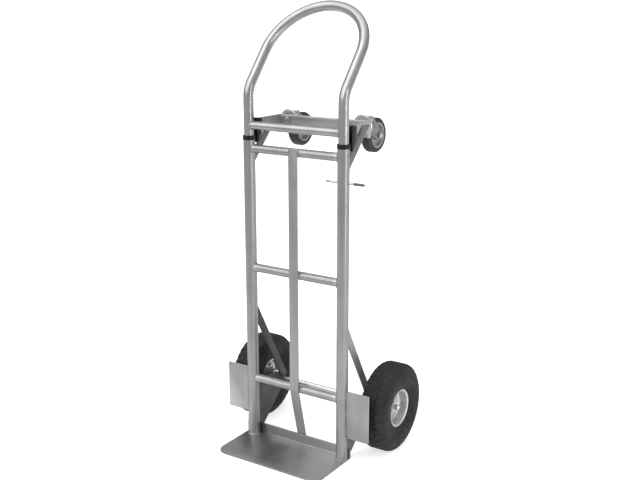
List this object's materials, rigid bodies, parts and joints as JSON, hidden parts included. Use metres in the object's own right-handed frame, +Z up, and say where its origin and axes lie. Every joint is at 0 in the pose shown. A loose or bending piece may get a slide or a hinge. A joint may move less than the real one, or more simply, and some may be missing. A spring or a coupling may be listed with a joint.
{
  "type": "convertible hand truck",
  "caption": "Silver tubular hand truck with pneumatic wheels, a toe plate and rear swivel casters; its looped handle lifts out so that it can serve as a platform cart.",
  "frame": {"origin": "on the floor, at the middle of the model's box in X and Y", "axes": "+X across the truck to its right seen from the toe plate's side, -Y towards the toe plate, +Z up"},
  "size_m": [0.542, 0.4366, 1.2806],
  "materials": {
    "silver_steel": "satin silver coat",
    "toe_steel": "smooth, reflects the uprights",
    "zinc_hardware": "zinc plated",
    "rim_zinc": "bright zinc",
    "bearing_steel": "ground",
    "tyre_rubber": "matte, moulded tread",
    "tube_rubber": "matte",
    "caster_rubber": "matte",
    "caster_plastic": "moulded",
    "black_moulding": "moulded"
  },
  "bodies": {
    "frame": {"axle": "zinc_hardware", "axle_spacers": "zinc_hardware", "axle_washers": "zinc_hardware", "caster_balls": "bearing_steel", "caster_bracket": "silver_steel", "centre_strap": "silver_steel", "cotter_pins": "zinc_hardware", "left_axle_bracket": "silver_steel", "left_king_pin": "zinc_hardware", "left_lower_brace": "silver_steel", "left_rail": "silver_steel", "left_socket_block": "black_moulding", "left_top_race": "zinc_hardware", "left_upper_brace": "silver_steel", "left_wheel_guard": "silver_steel", "lower_crossbar": "silver_steel", "middle_crossbar": "silver_steel", "right_axle_bracket": "silver_steel", "right_king_pin": "zinc_hardware", "right_lower_brace": "silver_steel", "right_rail": "silver_steel", "right_socket_block": "black_moulding", "right_top_race": "zinc_hardware", "right_upper_brace": "silver_steel", "right_wheel_guard": "silver_steel", "socket_bolts": "zinc_hardware", "toe_plate": "toe_steel", "top_crossbar": "silver_steel"},
    "left_wheel": {"left_tyre": "tyre_rubber", "left_inner_tube": "tube_rubber", "left_outer_rim": "rim_zinc", "left_inner_rim": "rim_zinc", "left_hub": "zinc_hardware", "left_bearings": "bearing_steel", "left_rim_bolts": "zinc_hardware", "left_valve_stem": "tube_rubber"},
    "right_wheel": {"right_tyre": "tyre_rubber", "right_inner_tube": "tube_rubber", "right_outer_rim": "rim_zinc", "right_inner_rim": "rim_zinc", "right_hub": "zinc_hardware", "right_bearings": "bearing_steel", "right_rim_bolts": "zinc_hardware", "right_valve_stem": "tube_rubber"},
    "left_caster": {"left_fork": "zinc_hardware", "left_caster_axle": "zinc_hardware"},
    "right_caster": {"right_fork": "zinc_hardware", "right_caster_axle": "zinc_hardware"},
    "left_caster_wheel": {"left_tread": "caster_rubber", "left_core": "caster_plastic", "left_bush": "bearing_steel"},
    "right_caster_wheel": {"right_tread": "caster_rubber", "right_core": "caster_plastic", "right_bush": "bearing_steel"},
    "handle": {"handle_loop": "silver_steel", "handle_crossbar": "silver_steel"},
    "pin": {"release_pin": "zinc_hardware", "pin_grip": "black_moulding"}
  },
  "joints": [
    {"name": "left_wheel_spin", "type": "hinge", "parent": "frame", "child": "left_wheel", "pos_m": [-0.228, 0.08875, 0.1295], "axis": [1, 0, 0], "continuous": true},
    {"name": "left_caster_swivel", "type": "hinge", "parent": "frame", "child": "left_caster", "pos_m": [-0.125, 0.08575, 0.9445], "axis": [0, 1, 0], "continuous": true},
    {"name": "left_caster_roll", "type": "hinge", "parent": "left_caster", "child": "left_caster_wheel", "pos_m": [-0.125, 0.14975, 0.911], "axis": [1, 0, 0], "continuous": true},
    {"name": "right_wheel_spin", "type": "hinge", "parent": "frame", "child": "right_wheel", "pos_m": [0.228, 0.08875, 0.1295], "axis": [1, 0, 0], "continuous": true},
    {"name": "right_caster_swivel", "type": "hinge", "parent": "frame", "child": "right_caster", "pos_m": [0.125, 0.08575, 0.9445], "axis": [0, 1, 0], "continuous": true},
    {"name": "right_caster_roll", "type": "hinge", "parent": "right_caster", "child": "right_caster_wheel", "pos_m": [0.125, 0.14975, 0.911], "axis": [1, 0, 0], "continuous": true},
    {"name": "handle_lift", "type": "slide", "parent": "frame", "child": "handle", "axis": [0, 0, 1], "range_m": [0, 0.145]},
    {"name": "pin_pull", "type": "slide", "parent": "frame", "child": "pin", "axis": [1, 0, 0], "range_m": [0, 0.08]}
  ]
}
